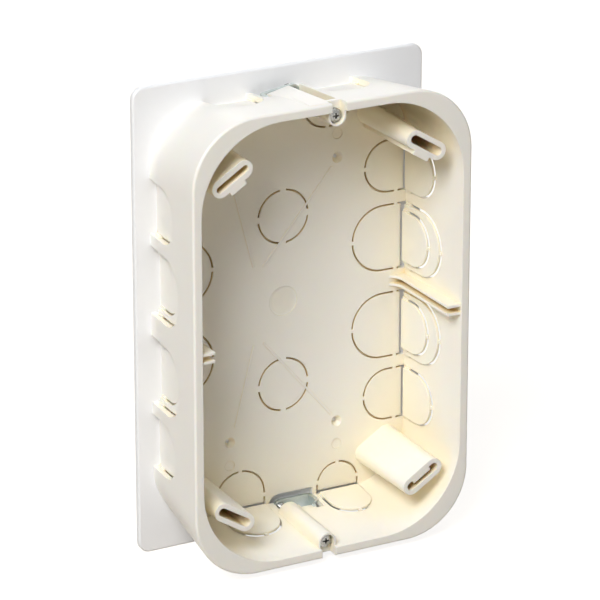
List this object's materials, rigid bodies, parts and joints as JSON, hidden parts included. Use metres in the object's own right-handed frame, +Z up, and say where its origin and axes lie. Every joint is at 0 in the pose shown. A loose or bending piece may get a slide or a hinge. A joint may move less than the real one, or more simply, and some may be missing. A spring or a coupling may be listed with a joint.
{
  "type": "junction box",
  "caption": "Flush-mounting junction box with stepped knockouts, corner posts, partition rails and claw fixing screws, its flat cover plate standing behind it.",
  "frame": {"origin": "middle of the set's footprint, level with the cover plate's bottom edge", "axes": "+Z up along the long side, -Y out of the box's open front, +X to the right as seen from the front"},
  "size_m": [0.1152, 0.042, 0.1752],
  "materials": {
    "cream_plastic": "satin moulded, warm ivory",
    "white_plastic": "satin moulded, neutral white",
    "screw_steel": "bright plated",
    "plated_steel": "zinc plated sheet"
  },
  "bodies": {
    "box": {"box_body": "cream_plastic", "cover_plate": "white_plastic"},
    "top_screw_body": {"top_screw": "screw_steel"},
    "top_claw_body": {"top_claw": "plated_steel"},
    "bottom_screw_body": {"bottom_screw": "screw_steel"},
    "bottom_claw_body": {"bottom_claw": "plated_steel"}
  },
  "joints": [
    {"name": "top_screw_turn", "type": "hinge", "parent": "box", "child": "top_screw_body", "pos_m": [0.00177, 0, 0.1671], "axis": [0, 1, 0], "range_deg": [0, 98]},
    {"name": "top_claw_slide", "type": "slide", "parent": "top_screw_body", "child": "top_claw_body", "axis": [0, 1, 0], "range_m": [0, 0.0044]},
    {"name": "bottom_screw_turn", "type": "hinge", "parent": "box", "child": "bottom_screw_body", "pos_m": [-0.00177, 0, 0.0081], "axis": [0, 1, 0], "range_deg": [0, 90]},
    {"name": "bottom_claw_slide", "type": "slide", "parent": "bottom_screw_body", "child": "bottom_claw_body", "axis": [0, 1, 0], "range_m": [-0.0032, 0.0012]}
  ]
}
